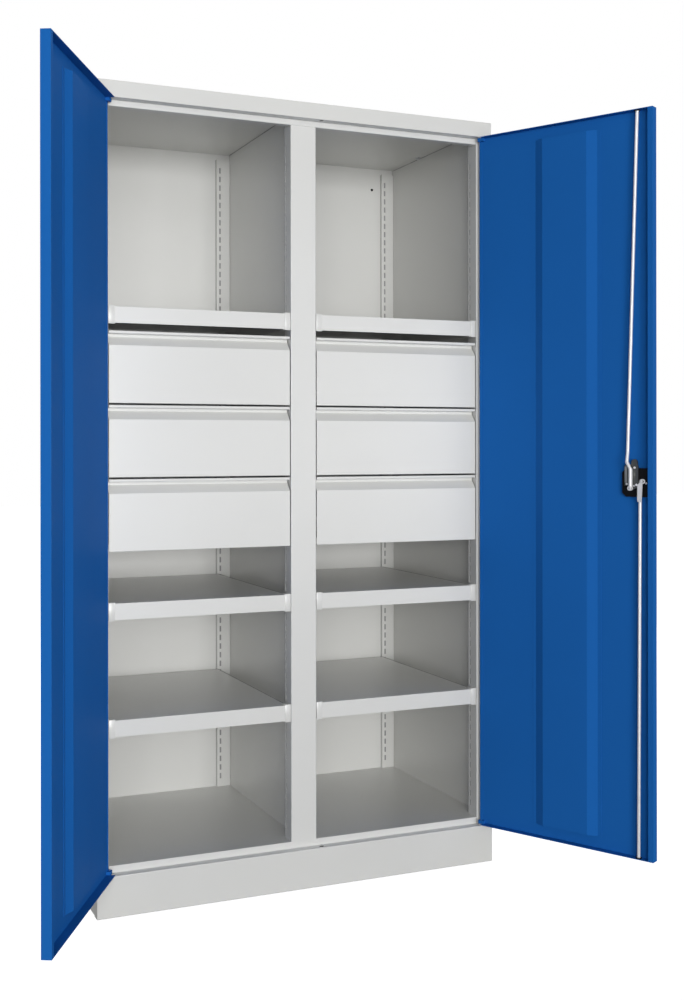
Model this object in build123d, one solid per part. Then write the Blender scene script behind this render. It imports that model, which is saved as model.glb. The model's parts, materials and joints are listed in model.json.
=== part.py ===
from build123d import *
import os
from math import cos, hypot, radians, sin

os.makedirs("parts", exist_ok=True)

# Heavy-duty two-door storage cabinet, shown with both doors open.
# Millimetres, +Z up. The origin is on the floor, half way across the front plinth's foot flange.
# X runs to the right, Y to the back. Depths are measured back from the plane of the closed doors.

# Overall size
cabinet_width = 1050.0
cabinet_height = 1950.0
cabinet_depth = 600.0

# Sheet metal
body_sheet = 1.2
door_sheet = 1.2
drawer_sheet = 1.0
bend_radius = 1.0

# Roof, plinth and front frame
roof_lip = 39.0
roof_overhang = 0.3
roof_return = 26.0
roof_corner = 2.4
ceiling_drop = 9.0
plinth_height = 97.0
foot_flange = 30.0
ledge_depth = 45.0
plinth_side_flange = 30.0
frame_recess = 25.0
column_face = 18.0
stile_width = 13.1
top_rail_height = 15.2
rail_flange = 20.0
floor_rise = 16.4
floor_side_fold = 14.0
wall_rear_flange = 20.0

# Uprights that carry the shelves and runners
upright_depth = 45.0
post_width = 67.6
post_lip = 12.0
partition_thickness = 10.0
rear_upright_width = 40.0
rear_upright_depth = 8.0
rear_upright_top_gap = 15.0
slot_pitch = 25.0
slot_height = 16.0
slot_width = 5.0
slot_inset = 10.0
first_slot = 30.0

# Wall fixing holes in the back panel
wall_hole_radius = 4.0
wall_hole_x = 453.0
wall_hole_drop = 72.0

# Shelves: height of each top surface above the floor
shelf_tops = {"low": 453.0, "middle": 728.0, "high": 1427.0}
shelf_lip = 39.0
shelf_width = 444.0
shelf_setback = 2.0
shelf_rear_gap = 2.0
shelf_corner = 5.0
shelf_hem = 12.0
clip_sheet = 1.5
clip_length = 18.0
clip_depth = 34.0
clip_cover = 1.8
clip_setback = 5.0

# Drawers
drawer_pitch = 175.0
drawer_names = ("low", "middle", "high")
drawer_lowest = 849.0
drawer_front_width = 454.0
drawer_front_height = 171.0
drawer_face_height = 136.7
grip_slope_height = 20.0
grip_recess = 18.0
grip_lip = 7.0
drawer_hem = 14.0
drawer_box_height = 118.0
drawer_box_lift = 16.0
drawer_box_length = 520.0
drawer_rim = 8.0
drawer_travel = 400.0
runner_width = 12.2
runner_play = 0.3
runner_height = 40.0
runner_lift = 30.0
runner_sheet = 1.5
runner_setback = 26.0
slide_height = 26.0
slide_setback = 14.0
slide_gap = 0.3
runner_side_gap = 0.4

# Doors
door_edge_gap = 5.5
door_top_gap = 2.5
door_bottom_gap = 4.5
door_centre_gap = 2.0
door_depth = 22.0
door_free_lip = 13.0
door_flange_notch = 13.0
door_hem = 8.0
stiffener_near = 157.0
stiffener_width = 174.0
stiffener_slope = 25.0
stiffener_height = 10.0
stiffener_foot = 10.0
stiffener_end_gap = 30.0
stiffener_sheet = 1.0
left_open_angle = 117.8
right_open_angle = 117.8

# Hinges
hinge_edge_distance = 5.0
hinge_depth = 6.0
hinge_pin_radius = 3.0
hinge_running_clearance = 0.05
hinge_block_width = 16.0
hinge_block_depth = 10.0
hinge_block_height = 9.0
hinge_pin_reach = 8.0
hinge_washer_radius = 5.5
hinge_washer_play = 0.3
hinge_rivet_radius = 3.6
hinge_rivet_height = 2.5
press_clearance = 0.02

# Lock: the spindle's place, and everything else measured from it
spindle_x = 46.0
spindle_z = 1003.0
spindle_radius = 4.0
spindle_clearance = 0.05
dish_beside_spindle = 6.8
dish_above_spindle = 5.3
dish_width = 67.4
dish_height = 69.5
dish_depth = 10.0
dish_wall = 1.6
dish_flange = 4.0
dish_corner = 10.0
dish_cut_clearance = 0.3
boss_radius = 7.0
case_below_spindle = 2.0
case_width = 35.6
case_height = 51.0
case_thickness = 4.0
case_corner = 5.0
case_notch_radius = 8.0
case_dome_offset = 7.8
case_dome_radius = 8.0
case_dome_rise = 5.0
cam_gap = 0.3
cam_sheet = 2.0
cam_radius = 17.0
cam_end_radius = 5.5
cam_pin_radius = 2.0
cam_pin_head = 3.2
cam_pin_head_height = 1.4
cam_rest_angle = 30.0
knob_radius = 13.0
knob_plate = 2.4
knob_clearance = 0.4
grip_length = 25.0
grip_width = 6.0
cylinder_beside_spindle = 14.3
cylinder_above_spindle = 24.0
cylinder_radius = 8.0
cylinder_proud = 4.0
plug_radius = 5.5
plug_clearance = 0.05
key_slot_width = 1.6
key_slot_height = 7.0
key_slot_depth = 5.0

# Locking rods
rod_radius = 4.0
rod_depth = 13.0
rod_guide_clearance = 0.3
rod_end_setback = 0.5
rod_hole_radius = 6.0
rod_strap_sheet = 2.0
rod_strap_sink = 0.4
rod_slot_play = 0.5
rod_slot_travel = 3.0
rod_eye_margin = 3.0
upper_rod_top_x = 44.5
upper_rod_end_offset = 14.2
upper_rod_end_above = 39.0
upper_rod_end_rise = 7.6
upper_rod_step_offset = 9.4
upper_rod_step_above = 16.0
upper_rod_step_rise = 6.5
upper_rod_bend_offset = 0.7
upper_rod_bend_above = 24.0
upper_rod_stop_drop = 4.0
lower_rod_low_x = 42.7
lower_rod_high_offset = 8.0
lower_rod_high_rise = 3.0
lower_strap_wide = 12.5
lower_strap_wide_offset = 9.7
lower_strap_wide_drop = 8.5
lower_strap_waist = 11.2
lower_strap_waist_offset = 8.4
lower_strap_waist_drop = 36.0
lower_strap_end = 8.6
lower_strap_end_drop = 5.0

# Places worked out from the sizes above
front = -foot_flange / 2
half_width = cabinet_width / 2
back = front + cabinet_depth
roof_underside = cabinet_height - roof_lip
wall_face = half_width - body_sheet - roof_overhang
wall_inside = wall_face - body_sheet
wall_back = back - body_sheet - roof_overhang
panel_front = wall_back - 2 * body_sheet
frame_front = front + frame_recess
frame_back = frame_front + body_sheet
upright_back = frame_front + upright_depth
ceiling = cabinet_height - ceiling_drop
floor_top = plinth_height + floor_rise
rail_bottom = roof_underside - top_rail_height
column_inside = wall_face - column_face
opening_half = column_inside - stile_width
post_half = post_width / 2
bay_width = opening_half - post_half
bay_centre = (opening_half + post_half) / 2
partition_half = partition_thickness / 2
rear_upright_front = panel_front - rear_upright_depth
roof_inside = cabinet_height - body_sheet
door_edge = column_inside - door_edge_gap
door_bottom = plinth_height + door_bottom_gap
door_top = roof_underside - door_top_gap
hinge_x = door_edge - hinge_edge_distance
hinge_y = front + hinge_depth
dish_centre_x = spindle_x + dish_beside_spindle
dish_centre_z = spindle_z + dish_above_spindle
cylinder_x = spindle_x + cylinder_beside_spindle
cylinder_z = spindle_z + cylinder_above_spindle
case_low_z = spindle_z - case_below_spindle
case_dome_x = cylinder_x - case_dome_offset
pin_reach = cam_radius * cos(radians(cam_rest_angle))
pin_drop = cam_radius * sin(radians(cam_rest_angle))
cam_front = front + dish_depth + case_thickness + cam_gap
cam_back = cam_front + cam_sheet
strap_front = front + rod_depth + rod_radius - rod_strap_sink
strap_back = strap_front + rod_strap_sheet


def block(x_range, y_range, z_range):
    """A plain rectangular solid between the given limits."""
    sizes = [high - low for low, high in (x_range, y_range, z_range)]
    corner = (min(x_range), min(y_range), min(z_range))
    return Pos(*corner) * Box(*sizes, align=(Align.MIN, Align.MIN, Align.MIN))


def rod(start, end, radius):
    """A round bar between two points."""
    axis = Vector(*end) - Vector(*start)
    plane = Plane(origin=start, z_dir=axis)
    return plane * Cylinder(radius, axis.length, align=(Align.CENTER, Align.CENTER, Align.MIN))


def left_normals(points):
    """The unit normal on the left of each stretch of a path."""
    normals = []
    for start, end in zip(points, points[1:]):
        length = hypot(end[0] - start[0], end[1] - start[1])
        normals.append(((start[1] - end[1]) / length, (end[0] - start[0]) / length))
    return normals


def bent_sheet(points, sheet, length, plane, bend=bend_radius):
    """A folded sheet: its skin follows the points, its thickness lies on their left."""
    normals = left_normals(points)
    before = [normals[0]] + normals
    after = normals + [normals[-1]]
    inner = []
    for point, first, second in zip(points, before, after):
        reach = sheet / (1 + first[0] * second[0] + first[1] * second[1])
        inner.append((point[0] + reach * (first[0] + second[0]), point[1] + reach * (first[1] + second[1])))
    turns = [a[0] * b[1] - a[1] * b[0] for a, b in zip(normals, normals[1:])]
    skin_bends = [bend + sheet if turn > 0 else bend for turn in turns]
    inner_bends = [bend if turn > 0 else bend + sheet for turn in turns]
    skin = FilletPolyline(*points, radius=skin_bends)
    inside = FilletPolyline(*inner, radius=inner_bends)
    ends = [Line(points[0], inner[0]), Line(points[-1], inner[-1])]
    edges = skin.edges() + inside.edges() + ends[0].edges() + ends[1].edges()
    return extrude(plane * make_face(edges), length)


def upright_plane(height):
    """A level plane, so that a section drawn on it as (X, Y) runs upward."""
    return Plane.XY.offset(height)


def mirrored(solid):
    """The same piece on the other side of the cabinet."""
    return mirror(solid, about=Plane.YZ)


def both_sides(solid):
    """The piece and its mirror image, as two separate solids."""
    return Compound(children=[solid, mirrored(solid)])


def swung(solid, side):
    """A piece of a closed door, turned to where the open door holds it; side is 1 for right."""
    angle = right_open_angle if side > 0 else -left_open_angle
    axis = Axis((side * hinge_x, hinge_y, 0), (0, 0, 1))
    return solid.rotate(axis, angle)


def write(solid, name):
    """Store one node."""
    solids = solid.solids()
    stored = solids[0] if len(solids) == 1 else Compound(children=list(solids))
    stored.label = name
    export_step(stored, f"parts/{name}.step")


def side_wall():
    """Right wall with its folded front column, stile and rear flange."""
    section = [
        (opening_half, frame_front),
        (column_inside, frame_front),
        (column_inside, front),
        (wall_face, front),
        (wall_face, wall_back),
        (wall_face - wall_rear_flange, wall_back),
    ]
    wall = bent_sheet(section, body_sheet, roof_underside - plinth_height, upright_plane(plinth_height))
    head = block((wall_inside, wall_face), (frame_back, wall_back), (roof_underside, roof_inside))
    return wall + head


def roof_cap():
    """Shallow lid with a lip all round and a level return behind its front lip."""
    outer = block((-half_width, half_width), (front, back), (roof_underside, cabinet_height))
    outer = fillet(outer.edges().filter_by(Axis.Z), roof_corner)
    outer = fillet(outer.edges().group_by(Axis.Z)[-1], bend_radius)
    hollow = block(
        (-half_width + body_sheet, half_width - body_sheet),
        (front + body_sheet, back - body_sheet),
        (roof_underside, roof_inside),
    )
    shelf = block(
        (-half_width + body_sheet, half_width - body_sheet),
        (front + body_sheet, front + roof_return),
        (roof_underside, roof_underside + body_sheet),
    )
    holes = [
        Pos(side * hinge_x, hinge_y, roof_underside) * Cylinder(hinge_pin_radius + press_clearance, roof_lip)
        for side in (-1, 1)
    ]
    rod_hole = Pos(upper_rod_top_x, front + rod_depth, roof_underside) * Cylinder(rod_hole_radius, roof_lip / 2)
    return outer - hollow + (shelf - holes - rod_hole)


def ceiling_panel():
    """Inner ceiling: a tray with its edges turned up to the roof."""
    reach = wall_inside
    outer = block((-reach, reach), (frame_back, panel_front), (ceiling, roof_inside))
    hollow = block(
        (-reach + body_sheet, reach - body_sheet),
        (frame_back + body_sheet, panel_front - body_sheet),
        (ceiling + body_sheet, roof_inside),
    )
    return outer - hollow


def back_panel():
    """Flat back with two holes for screws into a wall."""
    reach = wall_inside - bend_radius
    panel = block((-reach, reach), (panel_front, panel_front + body_sheet), (plinth_height, ceiling))
    for side in (-1, 1):
        place = Pos(side * wall_hole_x, panel_front, cabinet_height - wall_hole_drop)
        panel -= place * Rot(90, 0, 0) * Cylinder(wall_hole_radius, 4 * body_sheet)
    return panel


def floor_panel():
    """Cabinet floor; its front edge folds down to the plinth as the lower rail."""
    sheet = (floor_top - body_sheet, floor_top)
    top = block((-opening_half, opening_half), (frame_back, upright_back), sheet)
    top += block((-wall_inside, wall_inside), (upright_back, panel_front), sheet)
    top += block((-opening_half, opening_half), (frame_front, frame_back), (plinth_height, floor_top))
    for side in (-1, 1):
        edge = sorted((side * wall_inside, side * (wall_inside - body_sheet)))
        top += block(edge, (upright_back, panel_front), (floor_top - floor_side_fold, floor_top))
    return top


def top_rail():
    """Upper front rail, folded back at top and bottom."""
    section = [
        (frame_front + rail_flange, rail_bottom),
        (frame_front, rail_bottom),
        (frame_front, roof_underside),
        (frame_front + rail_flange, roof_underside),
    ]
    plane = Plane(origin=(-opening_half, 0, 0), x_dir=(0, 1, 0), z_dir=(1, 0, 0))
    return bent_sheet(section[::-1], body_sheet, 2 * opening_half, plane)


def plinth_board(inner_from, inner_to, top_depth, foot_depth):
    """Section of a plinth board, drawn as (distance in, height), closed by its two flanges."""
    return [
        (inner_from + foot_depth, 0),
        (inner_from, 0),
        (inner_from, inner_to),
        (inner_from + top_depth, inner_to),
    ]


def plinth_front():
    """Front plinth: foot flange, board, and the ledge that the doors close above."""
    section = plinth_board(front, plinth_height, ledge_depth, foot_flange)
    plane = Plane(origin=(-half_width, 0, 0), x_dir=(0, 1, 0), z_dir=(1, 0, 0))
    board = bent_sheet(section[::-1], body_sheet, cabinet_width, plane)
    for side in (-1, 1):
        place = Pos(side * hinge_x, hinge_y, plinth_height)
        board -= place * Cylinder(hinge_pin_radius + press_clearance, 4 * body_sheet)
    rod_hole = Pos(lower_rod_low_x, front + rod_depth, plinth_height)
    return board - rod_hole * Cylinder(rod_hole_radius, 4 * body_sheet)


def plinth_back():
    """Rear plinth, a mirror image of the front board's section without holes."""
    section = plinth_board(-back, plinth_height, foot_flange, foot_flange)
    plane = Plane(origin=(half_width, 0, 0), x_dir=(0, -1, 0), z_dir=(-1, 0, 0))
    return bent_sheet(section[::-1], body_sheet, cabinet_width, plane)


def plinth_side():
    """Right plinth board, between the front and rear boards' flanges."""
    section = plinth_board(-half_width, plinth_height, plinth_side_flange, plinth_side_flange)
    plane = Plane(origin=(0, front + ledge_depth, 0), x_dir=(-1, 0, 0), z_dir=(0, 1, 0))
    run = cabinet_depth - ledge_depth - foot_flange
    flanged = bent_sheet(section[::-1], body_sheet, run, plane)
    skin = block(
        (half_width - body_sheet, half_width),
        (front + body_sheet, back - body_sheet),
        (body_sheet + bend_radius, plinth_height - body_sheet - bend_radius),
    )
    return flanged + skin


def slot_heights(low, high):
    """Heights of the shelf slots in an upright."""
    count = int((high - low - 2 * first_slot) // slot_pitch) + 1
    return [low + first_slot + slot_pitch * step for step in range(count)]


def slots(x_range, y_range, low, high):
    """Solids that cut one column of slots."""
    return [
        block(x_range, y_range, (height - slot_height / 2, height + slot_height / 2))
        for height in slot_heights(low, high)
    ]


def centre_post():
    """Front post between the bays: a channel with slotted sides."""
    section = [
        (post_half - post_lip, upright_back),
        (post_half, upright_back),
        (post_half, frame_front),
        (-post_half, frame_front),
        (-post_half, upright_back),
        (post_lip - post_half, upright_back),
    ]
    post = bent_sheet(section[::-1], body_sheet, rail_bottom - floor_top, upright_plane(floor_top))
    middle = upright_back - slot_inset
    across = (middle - slot_width / 2, middle + slot_width / 2)
    for side in (-1, 1):
        reach = sorted((side * (post_half + 1), side * (post_half - 3 * body_sheet)))
        post -= slots(reach, across, floor_top, rail_bottom)
    return post


def front_upright():
    """Right front upright: a slotted side and a rear leg that stands against the wall."""
    section = [
        (wall_inside, upright_back),
        (opening_half, upright_back),
        (opening_half, frame_back),
    ]
    upright = bent_sheet(section, body_sheet, ceiling - floor_top, upright_plane(floor_top))
    middle = upright_back - slot_inset
    across = (middle - slot_width / 2, middle + slot_width / 2)
    reach = (opening_half - 1, opening_half + 3 * body_sheet)
    return upright - slots(reach, across, floor_top, rail_bottom)


def rear_upright(wall_x, inward):
    """Rear upright beside a wall: a channel with slots near its free edge."""
    near = wall_x + inward * rear_upright_width
    section = [
        (wall_x, panel_front),
        (wall_x, rear_upright_front),
        (near, rear_upright_front),
        (near, panel_front),
    ]
    if inward < 0:
        section.reverse()
    top = ceiling - rear_upright_top_gap
    upright = bent_sheet(section, body_sheet, top - floor_top, upright_plane(floor_top))
    middle = near - inward * slot_inset
    across = (middle - slot_width / 2, middle + slot_width / 2)
    reach = (rear_upright_front - 1, rear_upright_front + 3 * body_sheet)
    return upright - slots(across, reach, floor_top, top)


def rear_upright_pair():
    """The two rear uprights of the right bay."""
    outer = rear_upright(wall_inside, -1)
    inner = rear_upright(partition_half, 1)
    return Compound(children=[outer, inner])


def partition():
    """Wall between the bays: a pan with its edges folded to one side."""
    outer = block((-partition_half, partition_half), (upright_back, panel_front), (floor_top, ceiling))
    hollow = block(
        (body_sheet - partition_half, partition_half),
        (upright_back + body_sheet, panel_front - body_sheet),
        (floor_top + body_sheet, ceiling - body_sheet),
    )
    return outer - hollow


def shelf(top):
    """One shelf of the right bay: a tray turned down all round, with a hem under its front lip."""
    low_x = bay_centre - shelf_width / 2
    high_x = bay_centre + shelf_width / 2
    low_y = frame_front + shelf_setback
    high_y = rear_upright_front - shelf_rear_gap
    outer = block((low_x, high_x), (low_y, high_y), (top - shelf_lip, top))
    crown = outer.edges().group_by(Axis.Z)[-1]
    outer = fillet(crown.filter_by(Axis.Y), shelf_corner)
    front_edge = outer.edges().filter_by(Axis.X).group_by(Axis.Z)[-1].sort_by(Axis.Y)[0]
    outer = fillet(front_edge, bend_radius)
    hollow = block(
        (low_x + body_sheet, high_x - body_sheet),
        (low_y + body_sheet, high_y - body_sheet),
        (top - shelf_lip, top - body_sheet),
    )
    crown = hollow.edges().group_by(Axis.Z)[-1]
    hollow = fillet(crown.filter_by(Axis.Y), shelf_corner - body_sheet)
    hem = block(
        (low_x, high_x),
        (low_y, low_y + shelf_hem),
        (top - shelf_lip, top - shelf_lip + body_sheet),
    )
    return outer - hollow + hem


def shelf_clip(top, wall_x, inward, low_y):
    """Support clip: a plate on an upright, a tongue under the shelf and a tab over its edge."""
    low_z = top - shelf_lip - clip_sheet
    high_z = top + clip_sheet + runner_side_gap
    depth = (low_y, low_y + clip_depth)
    plate = block(sorted((wall_x, wall_x + inward * clip_sheet)), depth, (low_z, high_z))
    reach = sorted((wall_x, wall_x + inward * clip_length))
    tongue = block(reach, depth, (low_z, low_z + clip_sheet))
    cover = block(reach, (low_y, low_y + clip_length), (high_z - clip_sheet, high_z))
    return plate + tongue + cover


def rear_clip(top, wall_x, inward):
    """Rear support clip: a tongue under the shelf's rear edge, on the rear upright's face."""
    low_z = top - shelf_lip - clip_sheet
    reach = sorted((wall_x, wall_x + inward * rear_upright_width))
    tongue = block(reach, (rear_upright_front - clip_length, rear_upright_front), (low_z, low_z + clip_sheet))
    plate = block(reach, (rear_upright_front - clip_sheet, rear_upright_front), (low_z - clip_length, low_z))
    return tongue + plate


def shelf_clips():
    """All clips of the right bay, four to a shelf."""
    clips = []
    for top in shelf_tops.values():
        low_y = frame_front + clip_setback
        clips.append(shelf_clip(top, post_half, 1, low_y))
        clips.append(shelf_clip(top, opening_half, -1, low_y))
        clips.append(rear_clip(top, partition_half, 1))
        clips.append(rear_clip(top, wall_inside, -1))
    return clips


def drawer_base(step):
    """Height of a drawer front's lower edge, counted from the lowest drawer."""
    return drawer_lowest + drawer_pitch * step


def drawer_front(step):
    """Drawer front of the right bay: one folded sheet with a finger grip along its top."""
    face = frame_front + shelf_setback
    base = drawer_base(step)
    top = base + drawer_front_height
    slope_foot = base + drawer_face_height
    section = [
        (face + drawer_hem, base),
        (face, base),
        (face, slope_foot),
        (face + grip_recess, slope_foot + grip_slope_height),
        (face + grip_recess, top - grip_lip),
        (face, top - grip_lip),
        (face, top),
        (face + drawer_hem, top),
    ]
    low_x = bay_centre - drawer_front_width / 2
    plane = Plane(origin=(low_x, 0, 0), x_dir=(0, 1, 0), z_dir=(1, 0, 0))
    return bent_sheet(section[::-1], drawer_sheet, drawer_front_width, plane, bend=drawer_sheet / 2)


def drawer_side_reach():
    """Half width of the drawer box, which leaves room for a runner on each side."""
    return bay_width / 2 - runner_width - runner_play


def drawer_box(step):
    """Open drawer box of the right bay: floor, sides, front and back walls."""
    reach = drawer_side_reach()
    low_y = frame_front + shelf_setback + grip_recess + drawer_sheet
    base = drawer_base(step) + drawer_box_lift
    x_range = (bay_centre - reach, bay_centre + reach)
    y_range = (low_y, low_y + drawer_box_length)
    outer = block(x_range, y_range, (base, base + drawer_box_height))
    inner = block(
        (x_range[0] + drawer_sheet, x_range[1] - drawer_sheet),
        (y_range[0] + drawer_sheet, y_range[1] - drawer_sheet),
        (base + drawer_sheet, base + drawer_box_height),
    )
    rim_low = base + drawer_box_height - drawer_rim
    for side in (-1, 1):
        edge = bay_centre + side * reach
        rim = sorted((edge, edge - side * 2 * drawer_sheet))
        outer += block(rim, y_range, (rim_low, base + drawer_box_height))
        inner -= block(rim, y_range, (rim_low, base + drawer_box_height))
    brace_low = base + drawer_box_height / 2
    brace = block(
        (bay_centre - reach / 2, bay_centre + reach / 2),
        (frame_front + shelf_setback + drawer_sheet, low_y),
        (brace_low, brace_low + drawer_sheet),
    )
    return outer - inner + brace


def runner_track(step, side):
    """Cabinet half of one runner: a channel open towards the drawer, screwed to the uprights."""
    wall_x = bay_centre + side * bay_width / 2
    inner_x = wall_x - side * (runner_width - runner_play)
    base = drawer_base(step) + runner_lift
    reach = sorted((wall_x, inner_x))
    y_range = (frame_front + runner_setback, rear_upright_front)
    track = block(reach, y_range, (base, base + runner_height))
    slot = sorted((wall_x - side * runner_sheet, inner_x))
    margin = (runner_height - slide_height) / 2 - slide_gap
    return track - block(slot, y_range, (base + margin, base + runner_height - margin))


def drawer_slide(step, side):
    """Drawer half of one runner: a bar on the drawer's side that runs in the track."""
    side_x = bay_centre + side * drawer_side_reach()
    far_x = bay_centre + side * (bay_width / 2 - runner_sheet - runner_side_gap)
    base = drawer_base(step) + runner_lift + (runner_height - slide_height) / 2
    box_y = frame_front + shelf_setback + grip_recess + drawer_sheet
    y_range = (box_y + slide_setback, box_y + drawer_box_length)
    return block(sorted((side_x, far_x)), y_range, (base, base + slide_height))


def door_leaf():
    """Right door, closed: a sheet folded back along top, bottom and free edge, hemmed at the hinge."""
    free_x = door_centre_gap / 2
    skin_y = front + door_sheet
    inner_y = front + door_depth
    leaf = block((free_x, door_edge), (front, skin_y), (door_bottom, door_top))
    flange_x = (free_x, door_edge - door_flange_notch)
    for edge, inward in ((door_bottom, 1), (door_top, -1)):
        flange = sorted((edge, edge + inward * door_sheet))
        leaf += block(flange_x, (skin_y, inner_y), flange)
    leaf += block((free_x, free_x + door_sheet), (skin_y, inner_y), (door_bottom, door_top))
    leaf += block((free_x, free_x + door_free_lip), (inner_y - door_sheet, inner_y), (door_bottom, door_top))
    hem_z = (door_bottom + hinge_block_height, door_top - hinge_block_height)
    leaf += block((door_edge - door_hem, door_edge), (skin_y, skin_y + door_sheet), hem_z)
    outline = leaf.edges().filter_by(Axis.Z).group_by(Axis.Y)[0]
    return fillet(outline.group_by(Axis.X)[0], door_sheet)


def dish_block(margin, y_range):
    """The dish's outline, grown by a margin: a plate with its two corners on the hinge side cut off."""
    half_x = dish_width / 2 + margin
    half_z = dish_height / 2 + margin
    x_range = (dish_centre_x - half_x, dish_centre_x + half_x)
    plate = block(x_range, y_range, (dish_centre_z - half_z, dish_centre_z + half_z))
    return chamfer(plate.edges().filter_by(Axis.Y).group_by(Axis.X)[-1], dish_corner)


def lock_cutout():
    """Opening in the right door that the handle dish sits in."""
    return dish_block(dish_cut_clearance, (front - 1, front + 2 * door_sheet))


def rod_guide_holes():
    """Holes in the right door's flanges that guide the locking rods."""
    radius = rod_radius + rod_guide_clearance
    holes = []
    for x_place, height in ((upper_rod_top_x, door_top), (lower_rod_low_x, door_bottom)):
        holes.append(Pos(x_place, front + rod_depth, height) * Cylinder(radius, 4 * door_sheet))
    return holes


def stiffener():
    """Wide shallow hat section welded down the inside of the right door."""
    foot_y = front + door_sheet
    crown_y = foot_y + stiffener_height
    far = stiffener_near + stiffener_width
    section = [
        (stiffener_near - stiffener_foot, foot_y),
        (stiffener_near, foot_y),
        (stiffener_near + stiffener_slope, crown_y),
        (far - stiffener_slope, crown_y),
        (far, foot_y),
        (far + stiffener_foot, foot_y),
    ]
    low = door_bottom + stiffener_end_gap
    high = door_top - stiffener_end_gap
    return bent_sheet(section, stiffener_sheet, high - low, upright_plane(low))


def hinge_blocks():
    """Two bored blocks inside the right door's hinge corners."""
    blocks = []
    x_range = (door_edge - hinge_block_width, door_edge)
    y_range = (front + door_sheet, front + door_sheet + hinge_block_depth)
    for low in (door_bottom, door_top - hinge_block_height):
        body = block(x_range, y_range, (low, low + hinge_block_height))
        if low > door_bottom:
            shelf_z = (door_top - door_sheet, door_top)
        else:
            shelf_z = (door_bottom, door_bottom + door_sheet)
        body -= block((0, door_edge - door_flange_notch), y_range, shelf_z)
        bore = Pos(hinge_x, hinge_y, low + hinge_block_height / 2)
        body -= bore * Cylinder(hinge_pin_radius + hinge_running_clearance, 2 * hinge_block_height)
        blocks.append(body)
    return blocks


def hinge_pin(sheet_z, sheet_far, door_z, inward):
    """Pivot pin riveted in the roof return or the ledge, with a washer that carries the door."""
    washer_end = door_z - inward * hinge_washer_play
    shaft_end = door_z + inward * hinge_pin_reach
    shaft = rod((hinge_x, hinge_y, sheet_far), (hinge_x, hinge_y, shaft_end), hinge_pin_radius)
    washer = rod((hinge_x, hinge_y, sheet_z), (hinge_x, hinge_y, washer_end), hinge_washer_radius)
    rivet_end = sheet_far - inward * hinge_rivet_height
    rivet = rod((hinge_x, hinge_y, sheet_far), (hinge_x, hinge_y, rivet_end), hinge_rivet_radius)
    return shaft + washer + rivet


def hinge_pins():
    """Four pivot pins, above and below each door."""
    low = hinge_pin(plinth_height, plinth_height - body_sheet, door_bottom, 1)
    high = hinge_pin(roof_underside, roof_underside + body_sheet, door_top, -1)
    return Compound(children=[low, high, mirrored(low), mirrored(high)])


def handle_dish():
    """Shallow dish set in the right door, with a boss behind it that the spindle turns in."""
    cup = dish_block(0, (front, front + dish_depth))
    flange = dish_block(dish_flange, (front - dish_wall, front))
    cavity = dish_block(-dish_wall, (front - dish_wall, front + dish_depth - dish_wall))
    boss_start = (spindle_x, front + dish_depth, spindle_z)
    boss = rod(boss_start, (spindle_x, front + dish_depth + case_thickness, spindle_z), boss_radius)
    dish = cup + flange - cavity + boss
    dish -= through(spindle_x, spindle_z, spindle_radius + spindle_clearance)
    return dish - through(cylinder_x, cylinder_z, cylinder_radius)


def through(x_place, z_place, radius):
    """A round cutter along the depth of the lock."""
    return rod((x_place, front - dish_depth, z_place), (x_place, front + 3 * dish_depth, z_place), radius)


def lock_case():
    """Flat case with a domed top on the back of the dish; it holds the lock cylinder."""
    y_range = (front + dish_depth, front + dish_depth + case_thickness)
    high_z = case_low_z + case_height
    x_range = (cylinder_x - case_width / 2, cylinder_x + case_width / 2)
    body = block(x_range, y_range, (case_low_z, high_z))
    body = fillet(body.edges().filter_by(Axis.Y).group_by(Axis.Z)[-1], case_corner)
    dome_z = high_z + case_dome_rise
    body += rod((case_dome_x, y_range[0], dome_z), (case_dome_x, y_range[1], dome_z), case_dome_radius)
    dome_x = (case_dome_x - case_dome_radius, case_dome_x + case_dome_radius)
    body += block(dome_x, y_range, (high_z - case_corner, dome_z))
    body -= through(spindle_x, spindle_z, case_notch_radius)
    return body - through(cylinder_x, cylinder_z, cylinder_radius)


def lock_cylinder():
    """Housing of the key lock, seated in the dish and the case."""
    low_y = front + dish_depth - dish_wall - cylinder_proud
    high_y = front + dish_depth + case_thickness
    body = rod((cylinder_x, low_y, cylinder_z), (cylinder_x, high_y, cylinder_z), cylinder_radius)
    return body - through(cylinder_x, cylinder_z, plug_radius + plug_clearance)


def lock_plug():
    """Turning core of the key lock with its key slot."""
    low_y = front + dish_depth - dish_wall - cylinder_proud
    high_y = front + dish_depth + case_thickness
    plug = rod((cylinder_x, low_y, cylinder_z), (cylinder_x, high_y, cylinder_z), plug_radius)
    slot = block(
        (cylinder_x - key_slot_width / 2, cylinder_x + key_slot_width / 2),
        (low_y - 1, low_y + key_slot_depth),
        (cylinder_z - key_slot_height / 2, cylinder_z + key_slot_height / 2),
    )
    return plug - slot


def turn_handle():
    """Knob with a finger wing, and the spindle that carries the cam."""
    floor_y = front + dish_depth - dish_wall - knob_clearance
    knob = rod((spindle_x, floor_y - knob_plate, spindle_z), (spindle_x, floor_y, spindle_z), knob_radius)
    wing = block(
        (spindle_x - grip_width / 2, spindle_x + grip_width / 2),
        (front - dish_wall, floor_y - knob_plate),
        (spindle_z - grip_length / 2, spindle_z + grip_length / 2),
    )
    wing = fillet(wing.edges().filter_by(Axis.Y), grip_width / 3)
    spindle = rod((spindle_x, floor_y, spindle_z), (spindle_x, cam_back, spindle_z), spindle_radius)
    return knob + wing + spindle


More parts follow.
